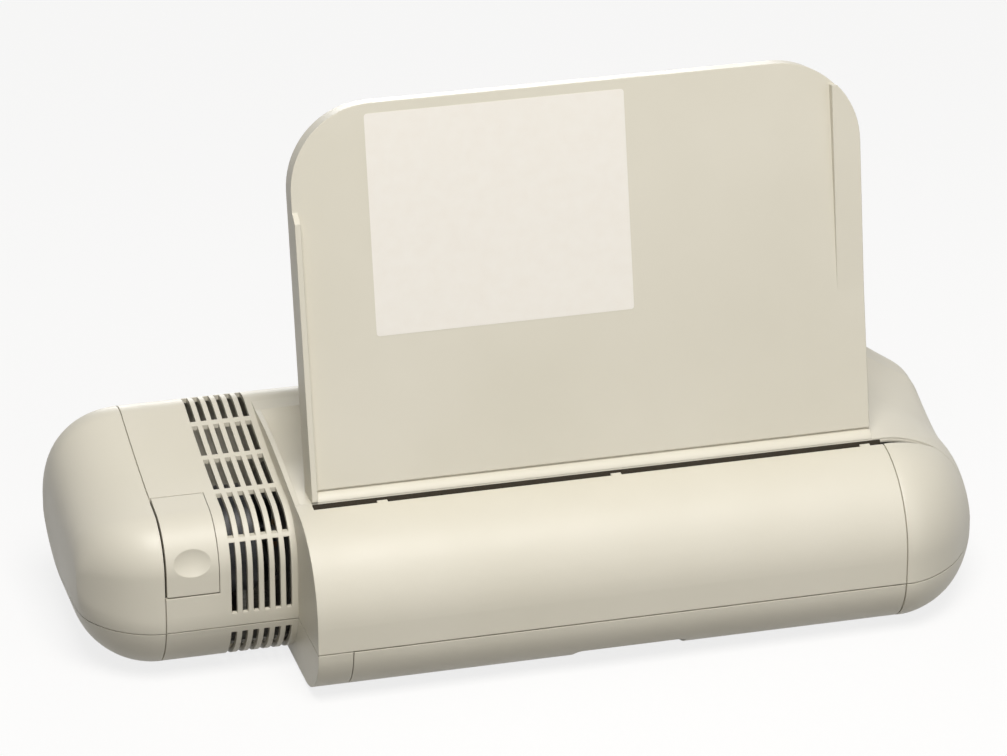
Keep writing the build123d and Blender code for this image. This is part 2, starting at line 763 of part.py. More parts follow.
tray_x = (tray_left + tray_gap, right_seam - tray_gap)
tray_rear = tray_back - tray_gap
tray_top = seam_height - tray_gap
low_y = front + front_bottom_radius
low_z = foot_proud + front_bottom_radius
notch_width = 56.0
notch_from_middle = 8.0     # middle of the finger notch, right of the support's middle
notch_middle = support_middle + notch_from_middle
notch_x = (notch_middle - notch_width / 2, notch_middle + notch_width / 2)
notch_y = (front + 8.5, tray_back - 6.0)
notch_top = 12.0


def tray_section(inset, x):
    """The tray's section in Y and Z, from its curved front to its back wall."""
    radius = front_bottom_radius - inset
    top = tray_top if not inset else tray_top + 1.0
    near = low_y - sqrt(radius**2 - (low_z - top) ** 2)
    turn = radians(45)
    with BuildPart() as made:
        with BuildSketch(Plane.YZ.offset(x[0])):
            with BuildLine():
                low = low_z - radius
                middle = (low_y - radius * cos(turn), low_z - radius * sin(turn))
                ThreePointArc((near, top), middle, (low_y, low))
                Polyline((low_y, low), (tray_rear - inset, low), (tray_rear - inset, top), (near, top))
            make_face()
        extrude(amount=x[1] - x[0])
    return made.part


rail_room = rail_reach + slide_gap
hollow_x = (tray_x[0] + rail_room + tray_wall, tray_x[1] - rail_room - tray_wall)
with BuildPart() as chip_tray:
    add(tray_section(0.0, tray_x))
    add(tray_section(tray_wall, hollow_x), mode=Mode.SUBTRACT)
    # room for the rails at both ends, below a flange that hangs on them and open at the back
    for end in ((tray_x[0] - 1, tray_x[0] + rail_room), (tray_x[1] - rail_room, tray_x[1] + 1)):
        with BuildPart(mode=Mode.PRIVATE) as rail_space:
            add(tray_section(tray_wall, end))
            add(block(end, (tray_rear - 2 * tray_wall, big), (rail_z[0] - 1.0, rail_z[1])))
            add(block(end, (-big, big), (-big, rail_level + slide_gap)), mode=Mode.INTERSECT)
        add(rail_space.part, mode=Mode.SUBTRACT)
    with BuildPart(mode=Mode.PRIVATE) as notch_hump:
        hump_x = (notch_x[0] - tray_wall, notch_x[1] + tray_wall)
        add(block(hump_x, (notch_y[0] - 4.0, notch_y[1] + tray_wall), (foot_proud, notch_top + tray_wall)))
        add(tray_section(0.0, tray_x), mode=Mode.INTERSECT)
    add(notch_hump.part)
    with BuildPart(mode=Mode.PRIVATE) as notch:
        add(block(notch_x, notch_y, (0, notch_top)))
        fillet(notch.edges().filter_by(Axis.Z), 4.0)
        fillet(notch.faces().sort_by(Axis.Z)[-1].edges(), 2.0)
    add(notch.part, mode=Mode.SUBTRACT)

# ---------------------------------------------------------------------------------------------
# Paper support
# ---------------------------------------------------------------------------------------------

support_left = support_middle - support_width / 2
support_right = support_middle + support_width / 2
support_plane = Plane(origin=(support_middle, *support_foot), x_dir=(1, 0, 0), z_dir=(0, -lean_cos, lean_sin))


def on_support(s, proud):
    """Y and Z of a point up the face of the support and proud of it."""
    y = support_foot[0] + s * lean_sin - proud * lean_cos
    z = support_foot[1] + s * lean_cos + proud * lean_sin
    return (y, z)


def support_slab(inset, depth):
    """The support's outline, square at the foot and round at the top, between two depths."""
    with BuildPart() as made:
        with BuildSketch(support_plane.offset(depth[0])):
            width = support_width - 2 * inset
            with Locations((0, support_height / 2)):
                RectangleRounded(width, support_height - 2 * inset, support_corner - inset)
            with Locations((0, (support_height + inset) / 2 - support_height / 4)):
                Rectangle(width, support_height / 2 - inset)
        extrude(amount=depth[1] - depth[0])
    return made.part


ledge_point = (slot_rear_y, cove_floor)
foot_back = on_support(0.0, -support_rim)
foot_bulge = ((ledge_point[0] + support_foot[0]) / 2 - 0.4, (ledge_point[1] + support_foot[1]) / 2 + 0.5)
rib_bottom = -3.6
with BuildPart() as paper_support:
    add(support_slab(0.0, (-support_rim, 0.0)))
    add(support_slab(support_wall, (-support_rim, -support_wall)), mode=Mode.SUBTRACT)
    # the foot: a rounded lip from the ledge up to the face
    with BuildSketch(Plane.YZ.offset(support_left)):
        with BuildLine():
            ThreePointArc(ledge_point, foot_bulge, support_foot)
            Polyline(support_foot, foot_back, (foot_back[0], cove_floor), ledge_point)
        make_face()
    extrude(amount=support_width)
    # a crease between the foot and the face
    crease_corners = (
        on_support(0.0, 1.0),
        on_support(0.0, -crease_depth),
        on_support(crease_width, -crease_depth),
        on_support(crease_width, 1.0),
    )
    add(slab(crease_corners, (support_left + guide_width, support_right)), mode=Mode.SUBTRACT)
    # the guide at the left that the sheets are pushed against
    guide_corners = (
        on_support(rib_bottom, 0.0),
        on_support(rib_bottom, guide_proud),
        on_support(guide_height - guide_proud, guide_proud),
        on_support(guide_height, 0.0),
    )
    add(slab(guide_corners, (support_left, support_left + guide_width)))
    # the strip at the right, flush low down and proud at the top
    with BuildPart(mode=Mode.PRIVATE) as strip:
        strip_corners = (
            on_support(strip_bottom, -support_wall),
            on_support(strip_bottom, 0.0),
            on_support(strip_top, strip_proud),
            on_support(strip_top, -support_wall),
        )
        add(slab(strip_corners, (support_right - strip_width, support_right)))
        add(support_slab(0.0, (-support_wall, 2 * strip_proud)), mode=Mode.INTERSECT)
    add(strip.part)
    for x in tab_places:
        add(block((x - tab_width / 2, x + tab_width / 2), tab_y, (cove_floor - tab_length, cove_floor + 1)))

# ---------------------------------------------------------------------------------------------
# Start and reverse rocker
# ---------------------------------------------------------------------------------------------

rocker_x = (rocker_left, rocker_left + rocker_width)
lug_width = 3.0
lug_places = (rocker_left + 5.4, rocker_left + 16.9)
ear_places = (rocker_left + 1.4, rocker_left + 20.9)
ear_width = 3.0
pin_fit = 0.05
dimple_ball = (dimple_diameter**2 / 4 + dimple_depth**2) / 2 / dimple_depth
dimple_reach = shoulder_radius - dimple_depth + dimple_ball
dimple_y = shoulder_y - dimple_reach * cos(radians(dimple_turn))
dimple_z = shoulder_height + dimple_reach * sin(radians(dimple_turn))

with BuildPart() as start_rocker:
    with BuildSketch(Plane.YZ.offset(rocker_x[0])):
        draw(rear_outline(0.0))
    extrude(amount=rocker_width)
    with BuildPart(mode=Mode.PRIVATE) as rocker_space:
        with BuildSketch(Plane.YZ.offset(rocker_x[0] - 1)):
            draw(rear_outline(rocker_skin))
        extrude(amount=rocker_width + 2)
        lug_y = (rocker_pivot[0] - 4, rocker_pivot[0] + 4)
        for x in lug_places:
            add(block((x, x + lug_width), lug_y, (rocker_pivot[1] - 4, big)), mode=Mode.SUBTRACT)
    add(rocker_space.part, mode=Mode.SUBTRACT)
    add(block(rocker_x, (vent_low_y, rocker_back), (rocker_bottom, vent_top_z)), mode=Mode.INTERSECT)
    add(rod(rocker_pivot, rocker_pin_diameter / 2 + pin_fit, rocker_x), mode=Mode.SUBTRACT)
    with Locations(((rocker_x[0] + rocker_x[1]) / 2, dimple_y, dimple_z)):
        Sphere(dimple_ball, mode=Mode.SUBTRACT)

bracket_x_range = (ear_places[0], ear_places[1] + ear_width)
shelf_thickness = 1.5
start_shelf = (rocker_pivot[1] - 20.0, rocker_pivot[1] - 20.0 + shelf_thickness)
reverse_shelf = (rocker_pivot[1] + 1.5, rocker_pivot[1] + 1.5 + shelf_thickness)
shelf_front = rocker_pivot[0] - 4.0
shelf_back = rocker_pivot[0] + 18.5
leg_y = rocker_pivot[0] + 10.0
# Each ear rises from the chassis, bends forward past the pin and reaches back over the motor
pin_y, pin_z = rocker_pivot
ear_outline = (
    (leg_y, chassis_top), (pin_y - 5.0, pin_z - 43.0), (pin_y - 5.0, pin_z - 6.0), (pin_y - 2.0, pin_z + 2.0),
    (pin_y + 3.0, pin_z + 4.5), (shelf_back, pin_z + 4.5), (shelf_back, reverse_shelf[0]),
    (pin_y + 7.5, reverse_shelf[0]), (pin_y + 4.0, pin_z - 4.0), (pin_y + 3.0, pin_z - 40.0),
    (leg_y + 7.0, chassis_top),
)
with BuildPart() as rocker_bracket:
    for x in ear_places:
        add(slab(ear_outline, (x, x + ear_width)))
    add(block(bracket_x_range, (shelf_front, shelf_front + 7.0), start_shelf))
    add(block(bracket_x_range, (shelf_back - 9.5, shelf_back), reverse_shelf))
    add(block(bracket_x_range, (leg_y + 0.5, leg_y + 7.0), (chassis_top, chassis_top + 2.0)))
    add(rod(rocker_pivot, rocker_pin_diameter / 2, bracket_x_range), mode=Mode.SUBTRACT)

with BuildPart() as rocker_pin:
    add(rod(rocker_pivot, rocker_pin_diameter / 2, bracket_x_range))

# A small switch under each end of the rocker, its key towards the rocker
switch_x = (rocker_left + 8.5, rocker_left + 16.0)
switch_key_x = (switch_x[0] + 2.0, switch_x[1] - 2.0)
start_switch_y = (rocker_pivot[0] - 5.5, rocker_pivot[0] + 2.0)
start_switch_height = 6.5
reverse_switch_y = (shelf_back - 8.5, shelf_back - 0.5)
reverse_switch_height = 4.0
switch_key = (1.5, 2.0)         # stands out, and width
with BuildPart() as start_switch:
    start_key_z = (start_shelf[1] + 3.5, start_shelf[1] + 3.5 + switch_key[1])
    add(block(switch_x, start_switch_y, (start_shelf[1], start_shelf[1] + start_switch_height)))
    add(block(switch_key_x, (start_switch_y[0] - switch_key[0], start_switch_y[0]), start_key_z))

with BuildPart() as reverse_switch:
    reverse_top = reverse_shelf[1] + reverse_switch_height
    reverse_key_y = (reverse_switch_y[0] + 1.0, reverse_switch_y[0] + 1.0 + switch_key[1])
    add(block(switch_x, reverse_switch_y, (reverse_shelf[1], reverse_top)))
    add(block(switch_key_x, reverse_key_y, (reverse_top, reverse_top + 1.2)))

# ---------------------------------------------------------------------------------------------
# Chassis and the plates that carry the mechanism
# ---------------------------------------------------------------------------------------------

chassis_x = (left_seam + 8.7, right_seam - 6.2)
chassis_left_y = rear_front + 22.7
chassis_front_y = bay_back[1] + 1.5
chassis_back_y = back - 34.0
chassis_outline = (
    (chassis_x[0], chassis_left_y), (step_x + 4.0, chassis_left_y), (step_x + 4.0, chassis_front_y),
    (chassis_x[1], chassis_front_y), (chassis_x[1], chassis_back_y), (chassis_x[0], chassis_back_y),
)
with BuildPart() as chassis_plate:
    with BuildSketch(Plane.XY.offset(chassis_level)):
        with BuildLine():
            Polyline(*chassis_outline, close=True)
        make_face()
        for place in post_places:
            with Locations(place):
                Circle(base_post_radius + 1.0, mode=Mode.SUBTRACT)
        for place in chassis_screw_places:
            with Locations(place):
                Circle(screw_diameter / 2 + screw_clearance, mode=Mode.SUBTRACT)
    extrude(amount=chassis_thickness)

guide_depth = (throat_gap / 2, throat_gap / 2 + guide_thickness)
die_depth = (-throat_gap / 2 - die_thickness, -throat_gap / 2)
punch_radius = hole_diameter / 2
with BuildPart() as guide_plate:
    add(leaning_slab((plate_low, plate_high), guide_depth, throat_x))
    for x in punch_places:
        add(punch_rod(x, punch_radius + running_gap, (0, 2 * guide_depth[1])), mode=Mode.SUBTRACT)

with BuildPart() as die_plate:
    add(leaning_slab((plate_low, plate_high), die_depth, throat_x))
    for x in punch_places:
        add(punch_rod(x, die_bore / 2, (2 * die_depth[0], 0)), mode=Mode.SUBTRACT)

with BuildPart() as paper_stop:
    stop_depth = (-throat_gap / 2, throat_gap / 2)
    add(leaning_slab((-edge_to_hole - stop_thickness, -edge_to_hole), stop_depth, throat_x))

with BuildPart() as throat_end_blocks:
    block_depth = (die_depth[0], guide_depth[1])
    for x in (throat_left - end_block_width, throat_right):
        add(leaning_slab((plate_low, plate_high), block_depth, (x, x + end_block_width)))

plate_top = along_paper(plate_high - 2.0, guide_depth[1])
plate_foot = along_paper(plate_low, guide_depth[1])
plate_crown = cam_axis[1] + 27.3    # the plates clear the cams and the gear at their top
plate_rear = idler_axis[0] + 13.0
plate_shoulder = (plate_rear, idler_axis[1] + 15.5)
plate_elbow = (plate_rear, idler_axis[1] - 14.5)
bearing_outline = (
    plate_foot, plate_top, (cam_axis[0] - 14.0, plate_crown), (cam_axis[0] + 24.0, plate_crown),
    plate_shoulder, plate_elbow, (idler_axis[0] + 3.5, chassis_top), (plate_foot[0], chassis_top),
)
shaft_radius = shaft_diameter / 2
bush_radius = shaft_radius + bush_wall
idler_pin_radius = idler_pin_diameter / 2
spacer_radius = 3.0
spacer_places = (
    (cam_axis[0] - 24.3, cam_axis[1] + 22.3),
    (cam_axis[0] - 21.3, cam_axis[1] - 29.7),
    (cam_axis[0] + 22.7, cam_axis[1] - 36.7),
)


def bearing_plate(x):
    """A plate that carries one end of the camshaft."""
    with BuildPart() as made:
        add(slab(bearing_outline, (x, x + plate_thickness)))
        add(rod(cam_axis, bush_radius, (x, x + plate_thickness)), mode=Mode.SUBTRACT)
    return made.part


with BuildPart() as bearing_plate_left:
    add(bearing_plate(left_plate_x))
    left_plate_range = (left_plate_x, left_plate_x + plate_thickness)
    add(rod(idler_axis, idler_pin_radius, left_plate_range), mode=Mode.SUBTRACT)

with BuildPart() as bearing_plate_right:
    add(bearing_plate(right_plate_x))
    with BuildPart(mode=Mode.PRIVATE) as window:
        window_y = (cam_axis[0] - 29.3, cam_axis[0] + 32.7)
        window_z = (chassis_top + 8.0, cam_axis[1] - bush_radius - 7.7)
        add(block((right_plate_x, right_plate_x + plate_thickness), window_y, window_z))
        fillet(window.edges().filter_by(Axis.X), 6.0)
    add(window.part, mode=Mode.SUBTRACT)

gear_plate_range = (gear_plate_x, gear_plate_x + plate_thickness)
rotor_bush_radius = motor_shaft_diameter / 2 + bush_wall
with BuildPart() as gear_plate:
    plate_near = cam_axis[0] - 31.3
    gear_plate_outline = (
        (plate_near, chassis_top + 10.0), (plate_near, plate_crown - 3.0), (cam_axis[0] + 24.0, plate_crown),
        plate_shoulder, plate_elbow, (idler_axis[0] + 1.5, chassis_top), (plate_near + 8.0, chassis_top),
    )
    add(slab(gear_plate_outline, gear_plate_range))
    add(rod(cam_axis, rotor_bush_radius, gear_plate_range), mode=Mode.SUBTRACT)
    add(rod(idler_axis, idler_pin_radius, gear_plate_range), mode=Mode.SUBTRACT)

with BuildPart() as plate_spacers:
    for place in spacer_places:
        add(rod(place, spacer_radius, (gear_plate_range[1], left_plate_x)))

with BuildPart() as throat_bracket:
    bracket_high = (plate_top[0] + 7.5, plate_top[1] - 4.2)
    bracket_low = (plate_top[0] + 15.5, chassis_top)
    bracket_outline = (plate_foot, plate_top, bracket_high, bracket_low, (plate_foot[0], chassis_top))
    add(slab(bracket_outline, (bracket_x, bracket_x + plate_thickness)))

with BuildPart() as camshaft_bushes:
    for x in (left_plate_x, right_plate_x):
        bush_range = (x + plate_thickness / 2 - bush_length / 2, x + plate_thickness / 2 + bush_length / 2)
        add(rod(cam_axis, bush_radius, bush_range))
    add(rod(cam_axis, shaft_radius + running_gap, (-big, big)), mode=Mode.SUBTRACT)

with BuildPart() as motor_bush:
    add(rod(cam_axis, rotor_bush_radius, gear_plate_range))
    add(rod(cam_axis, motor_shaft_diameter / 2 + running_gap, gear_plate_range), mode=Mode.SUBTRACT)

with BuildPart() as idler_pin:
    add(rod(idler_axis, idler_pin_radius, (gear_plate_x, left_plate_range[1])))

# ---------------------------------------------------------------------------------------------
# Camshaft, cams and the punches that they drive
# ---------------------------------------------------------------------------------------------

cam_breadth = 2 * cam_base + cam_rise
follower_radius = follower_diameter / 2
camshaft_x = (slow_gears[0] - 0.5, right_plate_x + plate_thickness + 4.0)
tip_margin = 0.03
cam_points = 9


def cam_point(turn):
    """A point of the cam's surface, a turn (radians) from its dent, for a follower of steady rate."""
    radius = cam_base + cam_rate * turn
    tangent = sqrt(radius**2 + cam_rate**2)
    inward = follower_radius + cam_gap
    x = radius * cos(turn) - inward * (radius * cos(turn) + cam_rate * sin(turn)) / tangent
    y = radius * sin(turn) - inward * (radius * sin(turn) - cam_rate * cos(turn)) / tangent
    return (x, y)


def heart_cam(x, dent_turn):
    """A heart-shaped cam about the camshaft, its dent pointing along a turn from behind the paper."""
    flank = [cam_point((pi - tip_margin) * i / (cam_points - 1)) for i in range(cam_points)]
    other_flank = [(p[0], -p[1]) for p in flank]
    dent_bottom = (cam_base - follower_radius - cam_gap, 0.0)
    with BuildPart() as made:
        with BuildSketch(lean_plane(x, dent_turn)):
            with BuildLine():
                Spline(*flank)
                Line(flank[-1], other_flank[-1])
                Spline(*other_flank)
                ThreePointArc(other_flank[0], dent_bottom, flank[0])
            make_face()
            Circle(shaft_radius, mode=Mode.SUBTRACT)
        extrude(amount=cam_width)
    return made.part


with BuildPart() as camshaft:
    add(rod(cam_axis, shaft_radius, camshaft_x))

cam_x = [x - cam_width / 2 for x in punch_places]
with BuildPart() as cam_left:
    add(heart_cam(cam_x[0], -90.0))
with BuildPart() as cam_right:
    add(heart_cam(cam_x[1], 90.0))

with BuildPart() as cam_gear:
    add(gear(cam_gear_teeth, idler_direction, cam_axis, slow_gears, shaft_radius))

yoke_gap = 0.5
yoke_plate = 2.5
yoke_half_height = 8.5
yoke_reach = 28.5
yoke_block = (24.0, 28.5)
yoke_travel = 6.4
slot_fit = 0.15
pin_seat = 2.5


def punch_yoke(x):
    """A frame round a cam: two slotted side plates, two follower pins and the punch's holder."""
    half_inside = cam_width / 2 + yoke_gap
    half_outside = half_inside + yoke_plate
    with BuildPart() as made:
        for start in (x - half_outside, x + half_inside):
            with BuildSketch(lean_plane(start)):
                RectangleRounded(2 * yoke_reach, 2 * yoke_half_height, 2.5)
                slot_height = 2 * (shaft_radius + slot_fit)
                SlotCenterToCenter(2 * yoke_travel, slot_height, mode=Mode.SUBTRACT)
            extrude(amount=yoke_plate)
        with BuildSketch(lean_plane(x - half_inside)):
            middle = (yoke_block[0] + yoke_block[1]) / 2
            with Locations((-middle, 0), (middle, 0)):
                Rectangle(yoke_block[1] - yoke_block[0], 2 * yoke_half_height)
            with Locations((-cam_breadth / 2, 0), (cam_breadth / 2, 0)):
                Circle(follower_radius)
        extrude(amount=2 * half_inside)
        seat = (cam_distance - yoke_reach, cam_distance - yoke_reach + pin_seat)
        add(punch_rod(x, punch_radius, seat), mode=Mode.SUBTRACT)
    return made.part


def punch_pin(x):
    """A ground steel pin with a shallow notch across its tip."""
    tip = throat_gap / 2 + punch_rest
    with BuildPart() as made:
        add(punch_rod(x, punch_radius, (tip, cam_distance - yoke_reach + pin_seat)))
        chamfer(made.edges().sort_by(Axis.Y)[-1], 0.4)
    return made.part


with BuildPart() as punch_yoke_left:
    add(punch_yoke(punch_places[0]))
with BuildPart() as punch_yoke_right:
    add(punch_yoke(punch_places[1]))
with BuildPart() as punch_pin_left:
    add(punch_pin(punch_places[0]))
with BuildPart() as punch_pin_right:
    add(punch_pin(punch_places[1]))

# ---------------------------------------------------------------------------------------------
# Gear train and motor
# ---------------------------------------------------------------------------------------------

mesh_turn = idler_direction + 180
with BuildPart() as idler_gears:
    idler_bore = idler_pin_radius + running_gap
    add(gear(idler_large_teeth, mesh_turn + 180 / idler_large_teeth, idler_axis, fast_gears, idler_bore))
    slow_range = (fast_gears[1], slow_gears[1])
    add(gear(idler_small_teeth, mesh_turn + 180 / idler_small_teeth, idler_axis, slow_range, idler_bore))

motor_shaft_radius = motor_shaft_diameter / 2
with BuildPart() as motor_pinion:
    add(gear(pinion_teeth, idler_direction, cam_axis, fast_gears, motor_shaft_radius))

with BuildPart() as motor_shaft:
    add(rod(cam_axis, motor_shaft_radius, motor_shaft_x))

motor_inside = (motor_x[0] + motor_wall, motor_x[1] - motor_wall)
motor_radius = motor_diameter / 2
with BuildPart() as motor_case:
    add(rod(cam_axis, motor_radius, motor_x))
    chamfer(motor_case.faces().filter_by(Axis.X).edges(), 1.5)
    add(rod(cam_axis, motor_bore / 2, motor_inside), mode=Mode.SUBTRACT)
    add(rod(cam_axis, motor_shaft_radius + running_gap, motor_x), mode=Mode.SUBTRACT)

with BuildPart() as armature:
    add(rod(cam_axis, motor_bore / 2 - air_gap, (motor_inside[0] + 4, motor_inside[1] - 4)))
    add(rod(cam_axis, motor_shaft_radius, motor_x), mode=Mode.SUBTRACT)

with BuildPart() as motor_bracket:
    saddle_x = (motor_x[0] + 6, motor_x[1] - 6)
    saddle_y = (cam_axis[0] - 16.0, cam_axis[0] + 16.0)
    saddle_top = cam_axis[1] - 19.7
    saddle_gap_x = (saddle_x[0] + 4.0, saddle_x[1] - 4.0)
    add(block(saddle_x, saddle_y, (chassis_top, saddle_top)))
    saddle_gap_y = (saddle_y[0] - 1, saddle_y[1] + 1)
    add(block(saddle_gap_x, saddle_gap_y, (chassis_top + 2.0, saddle_top + 1)), mode=Mode.SUBTRACT)
    add(rod(cam_axis, motor_radius, motor_x), mode=Mode.SUBTRACT)

fan_middle = (fan_x[0] + fan_x[1]) / 2
blade_length = (fan_diameter - fan_hub) / 2 + 1.0
with BuildPart() as cooling_fan:
    add(rod(cam_axis, fan_hub / 2, fan_x))
    with Locations(Plane(origin=(fan_middle, *cam_axis), x_dir=(0, 1, 0), z_dir=(1, 0, 0))):
        with PolarLocations(fan_hub / 2 - 1.0 + blade_length / 2, fan_blades):
            Box(blade_length, 8.0, 1.2, rotation=(35, 0, 0))
    add(rod(cam_axis, motor_shaft_radius, fan_x), mode=Mode.SUBTRACT)

# ---------------------------------------------------------------------------------------------
# Electrics
# ---------------------------------------------------------------------------------------------

flange_x = (inlet_middle[0] - inlet_flange[0] / 2, inlet_middle[0] + inlet_flange[0] / 2)
flange_z = (inlet_middle[1] - inlet_flange[1] / 2, inlet_middle[1] + inlet_flange[1] / 2)
cavity_x = (inlet_middle[0] - inlet_cavity[0] / 2, inlet_middle[0] + inlet_cavity[0] / 2)
cavity_z = (inlet_middle[1] - inlet_cavity[1] / 2, inlet_middle[1] + inlet_cavity[1] / 2)
inlet_rear_y = back - wall
contact_places = ((-7.0, -2.0), (0.0, 2.0), (7.0, -2.0))
contact_recess = 6.0
with BuildPart() as power_inlet:
    add(block(inlet_x, (inlet_rear_y - inlet_body[2], back), inlet_z))
    add(block(flange_x, (inlet_rear_y - inlet_flange[2], inlet_rear_y), flange_z))
    add(block(cavity_x, (back - inlet_cavity[2], back), cavity_z), mode=Mode.SUBTRACT)
    for across, up in contact_places:
        x = inlet_middle[0] + across
        z = inlet_middle[1] + up
        add(block((x - 1, x + 1), (back - inlet_cavity[2], back - contact_recess), (z - 2, z + 2)))

board_z = (board_level, board_level + board_thickness)
with BuildPart() as control_board:
    add(block(board_x, board_y, board_z))
    for x in (board_x[0] + 4, board_x[1] - 4):
        for y in (board_y[0] + 4, board_y[1] - 4):
            add(upright((x, y), 2.5, (chassis_top, board_level)))

core_x = (board_x[0] + 6.0, board_x[0] + 32.0)
core_y = (board_y[0] + 8.0, board_y[0] + 34.0)
winding_x = (core_x[0] + 4.0, core_x[1] - 4.0)
winding_y = (core_y[0] - 4.0, core_y[1] + 4.0)
relay_x = (board_x[0] + 40.0, board_x[0] + 59.0)
relay_y = (board_y[0] + 6.0, board_y[0] + 21.0)
with BuildPart() as transformer:
    add(block(core_x, core_y, (board_z[1], board_z[1] + 28.0)))
    add(block(winding_x, winding_y, (board_z[1] + 4.0, board_z[1] + 24.0)))

with BuildPart() as relay:
    add(block(relay_x, relay_y, (board_z[1], board_z[1] + 15.0)))

# ---------------------------------------------------------------------------------------------
# Hand each piece over under its own name
# ---------------------------------------------------------------------------------------------

pieces = {
    "left_cap_upper": left_cap_upper,
    "left_cap_lower": left_cap_lower,
    "right_cap_upper": right_cap_upper,
    "right_cap_lower": right_cap_lower,
    "front_cover": front_cover,
    "rear_housing": rear_housing,
    "base": base,
    "rubber_feet": rubber_feet,
    "housing_screws": housing_screws,
    "chassis_screws": chassis_screws,
    "chip_tray": chip_tray,
    "paper_support": paper_support,
    "start_rocker": start_rocker,
    "rocker_bracket": rocker_bracket,
    "rocker_pin": rocker_pin,
    "start_switch": start_switch,
    "reverse_switch": reverse_switch,
    "chassis_plate": chassis_plate,
    "guide_plate": guide_plate,
    "die_plate": die_plate,
    "paper_stop": paper_stop,
    "throat_end_blocks": throat_end_blocks,
    "throat_bracket": throat_bracket,
    "bearing_plate_left": bearing_plate_left,
    "bearing_plate_right": bearing_plate_right,
    "gear_plate": gear_plate,
    "plate_spacers": plate_spacers,
    "camshaft_bushes": camshaft_bushes,
    "motor_bush": motor_bush,
    "idler_pin": idler_pin,
    "camshaft": camshaft,
    "cam_left": cam_left,
    "cam_right": cam_right,
    "cam_gear": cam_gear,
    "punch_yoke_left": punch_yoke_left,
    "punch_yoke_right": punch_yoke_right,
    "punch_pin_left": punch_pin_left,
    "punch_pin_right": punch_pin_right,
    "idler_gears": idler_gears,
    "motor_pinion": motor_pinion,
    "motor_shaft": motor_shaft,
    "motor_case": motor_case,
    "armature": armature,
    "motor_bracket": motor_bracket,
    "cooling_fan": cooling_fan,
    "power_inlet": power_inlet,
    "control_board": control_board,
    "transformer": transformer,
    "relay": relay,
}
for name, piece in pieces.items():
    piece.part.label = name
    export_step(piece.part, f"parts/{name}.step")
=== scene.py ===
"""Electric two-hole paper punch: its finishes, label and a dark sheet of painted shade in the paper slot,
in a pale studio.
"""

import json
import math

import bmesh
import bpy
from mathutils import Matrix, Vector


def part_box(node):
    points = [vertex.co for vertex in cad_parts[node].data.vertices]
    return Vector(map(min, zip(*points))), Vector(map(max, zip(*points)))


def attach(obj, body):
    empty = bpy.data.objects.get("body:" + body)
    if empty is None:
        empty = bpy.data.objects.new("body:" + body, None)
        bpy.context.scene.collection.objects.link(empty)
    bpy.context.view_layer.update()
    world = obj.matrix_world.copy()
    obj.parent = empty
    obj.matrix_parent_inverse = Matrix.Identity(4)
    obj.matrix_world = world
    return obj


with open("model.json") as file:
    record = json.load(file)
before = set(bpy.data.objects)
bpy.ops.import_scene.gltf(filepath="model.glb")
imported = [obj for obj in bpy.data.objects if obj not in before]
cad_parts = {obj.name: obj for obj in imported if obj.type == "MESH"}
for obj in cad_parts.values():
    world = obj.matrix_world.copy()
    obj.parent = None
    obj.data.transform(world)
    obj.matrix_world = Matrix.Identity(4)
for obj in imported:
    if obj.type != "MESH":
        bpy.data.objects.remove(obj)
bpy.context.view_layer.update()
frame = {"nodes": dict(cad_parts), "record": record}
nodes = frame["nodes"]

MM = 0.001

# ---------------------------------------------------------------------------------------------
# The object's own places and sizes, in metres
# ---------------------------------------------------------------------------------------------

# the paper leans back on its support, and the rear wall of the paper slot leans with it
LEAN = math.radians(11.75)
ACROSS_THE_SUPPORT = Vector((1.0, 0.0, 0.0))
UP_THE_SUPPORT = Vector((0.0, math.sin(LEAN), math.cos(LEAN)))
OUT_OF_SUPPORT = Vector((0.0, -math.cos(LEAN), math.sin(LEAN)))
SUPPORT_FOOT = Vector((0.0, -32.7, 90.1)) * MM

LABEL_LEFT = -75.1 * MM
LABEL_RIGHT = 51.5 * MM
LABEL_BOTTOM = 72.0 * MM  # the bottom and the top are measured up the support, from its foot
LABEL_TOP = 178.6 * MM
LABEL_THICKNESS = 0.12 * MM
LABEL_CORNER = 1.5 * MM

SLOT_REAR_EDGE = Vector((0.0, -36.9, 86.5)) * MM
SLOT_FROM_STEP = 8.4 * MM  # from the step in the body, where the cover starts, to the slot's left end
SHADE_SHEET_DROP = 0.6 * MM  # from the slot's rear edge down to the top of the sheet of painted shade
SHADE_SHEET_DEPTH = 9.0 * MM  # and from that edge down to the sheet's bottom
SHADE_SHEET_THICKNESS = 0.2 * MM
SHADE_SHEET_CORNER = 0.4 * MM

CORNER_SEGMENTS = 5  # in each rounded corner of the label and of the sheet of painted shade

# ---------------------------------------------------------------------------------------------
# Helpers for colours, nodes and meshes
# ---------------------------------------------------------------------------------------------


def linear(hex_colour):
    """An sRGB hex colour as the linear RGBA that shaders take."""
    channels = []
    for start in (1, 3, 5):
        value = int(hex_colour[start : start + 2], 16) / 255
        channels.append(value / 12.92 if value <= 0.04045 else ((value + 0.055) / 1.055) ** 2.4)
    return (*channels, 1.0)


def scale_of(size_mm):
    """Texture scale, in repeats for each metre, of a pattern of that size."""
    return 1000.0 / size_mm


def add_node(tree, kind, settings=None, inputs=None, links=None):
    """Adds a shader node, sets its properties and input values, and links its inputs."""
    made = tree.nodes.new(kind)
    for name, value in (settings or {}).items():
        setattr(made, name, value)
    for name, value in (inputs or {}).items():
        made.inputs[name].default_value = value
    for name, source in (links or {}).items():
        tree.links.new(source, made.inputs[name])
    return made


def emptied(owner):
    """Turns on the nodes of a material or a world, takes the ready-made ones out, and returns the tree."""
    owner.use_nodes = True
    owner.node_tree.nodes.clear()
    return owner.node_tree


def square(reach):
    """One flat face that reaches that far to each side of the origin."""
    mesh = bmesh.new()
    bmesh.ops.create_grid(mesh, x_segments=1, y_segments=1, size=reach)
    return mesh


